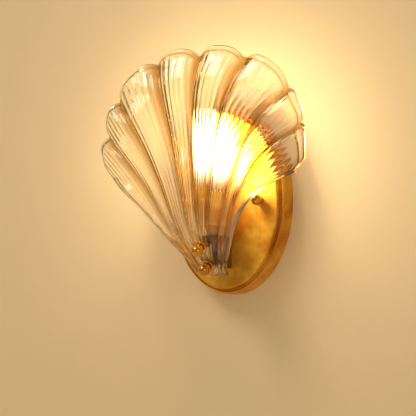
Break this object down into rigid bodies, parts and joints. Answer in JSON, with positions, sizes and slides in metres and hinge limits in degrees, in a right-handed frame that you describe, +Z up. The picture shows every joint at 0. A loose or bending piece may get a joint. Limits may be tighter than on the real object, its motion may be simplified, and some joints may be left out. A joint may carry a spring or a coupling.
{
  "type": "wall sconce",
  "caption": "Wall sconce with a scallop-shell shade of clear fluted glass clamped by ball nuts to a folded brass arm on an upright oval brass canopy, with a candle bulb.",
  "frame": {"origin": "middle of the crossbar's two wall screw slots, where the canopy's centre meets the wall", "axes": "+Z up, +Y into the wall, +X to the right of someone facing the lamp, which stands out towards -Y"},
  "size_m": [0.198, 0.0821, 0.2065],
  "materials": {
    "satin_brass": "spun and lacquered, satin",
    "polished_brass": "turned and polished",
    "clear_glass": "pressed clear glass, faint amber cast",
    "bulb_envelope": "lit warm white bulb",
    "lit_filament": "glowing filament strips",
    "clear_stem": "clear glass stem",
    "black_rubber": "soft washer",
    "zinc_steel": "zinc plated",
    "white_insulator": "heat resistant moulding",
    "nickel_cap": "nickel plated screw cap",
    "brown_sleeving": "wire insulation",
    "blue_sleeving": "wire insulation",
    "green_yellow_sleeving": "wire insulation",
    "terminal_plastic": "terminal block moulding"
  },
  "bodies": {
    "lamp": {"canopy": "satin_brass", "wall_crossbar": "zinc_steel", "canopy_studs": "zinc_steel", "earth_screw": "polished_brass", "glass_shade": "clear_glass", "shade_studs": "zinc_steel", "shade_pads": "black_rubber", "shade_washers": "polished_brass", "shade_arm": "satin_brass", "arm_screws": "zinc_steel", "holder_bridge": "satin_brass", "holder_nipple": "zinc_steel", "holder_locknut": "zinc_steel", "lampholder_shell": "satin_brass", "lampholder_core": "white_insulator", "centre_contact": "polished_brass", "screw_sleeve": "nickel_cap", "sleeve_collar": "white_insulator", "terminal_block": "terminal_plastic", "terminal_screws": "polished_brass", "live_wire": "brown_sleeving", "neutral_wire": "blue_sleeving", "earth_wire": "green_yellow_sleeving", "wire_bush": "black_rubber"},
    "bulb": {"bulb_cap": "nickel_cap", "bulb_tip": "zinc_steel", "bulb_glass": "bulb_envelope", "bulb_stem": "clear_stem", "filament_strips": "lit_filament", "filament_carrier": "zinc_steel"},
    "nut_canopy_left": {"canopy_nut_left": "polished_brass"},
    "nut_canopy_right": {"canopy_nut_right": "polished_brass"},
    "nut_shade_lower": {"shade_nut_lower": "polished_brass"},
    "nut_shade_upper": {"shade_nut_upper": "polished_brass"}
  },
  "joints": [
    {"name": "bulb_turn", "type": "hinge", "parent": "lamp", "child": "bulb", "pos_m": [0, -0.041, 0], "axis": [0, 0, 1], "continuous": true},
    {"name": "canopy_nut_left_turn", "type": "hinge", "parent": "lamp", "child": "nut_canopy_left", "pos_m": [-0.0344, -0.0205, 0], "axis": [0, -1, 0], "continuous": true},
    {"name": "canopy_nut_right_turn", "type": "hinge", "parent": "lamp", "child": "nut_canopy_right", "pos_m": [0.0344, -0.0205, 0], "axis": [0, -1, 0], "continuous": true},
    {"name": "shade_nut_lower_turn", "type": "hinge", "parent": "lamp", "child": "nut_shade_lower", "pos_m": [0, -0.04829, -0.05483], "axis": [0, -0.8358, -0.549], "continuous": true},
    {"name": "shade_nut_upper_turn", "type": "hinge", "parent": "lamp", "child": "nut_shade_upper", "pos_m": [0, -0.059, -0.03853], "axis": [0, -0.8358, -0.549], "continuous": true}
  ]
}
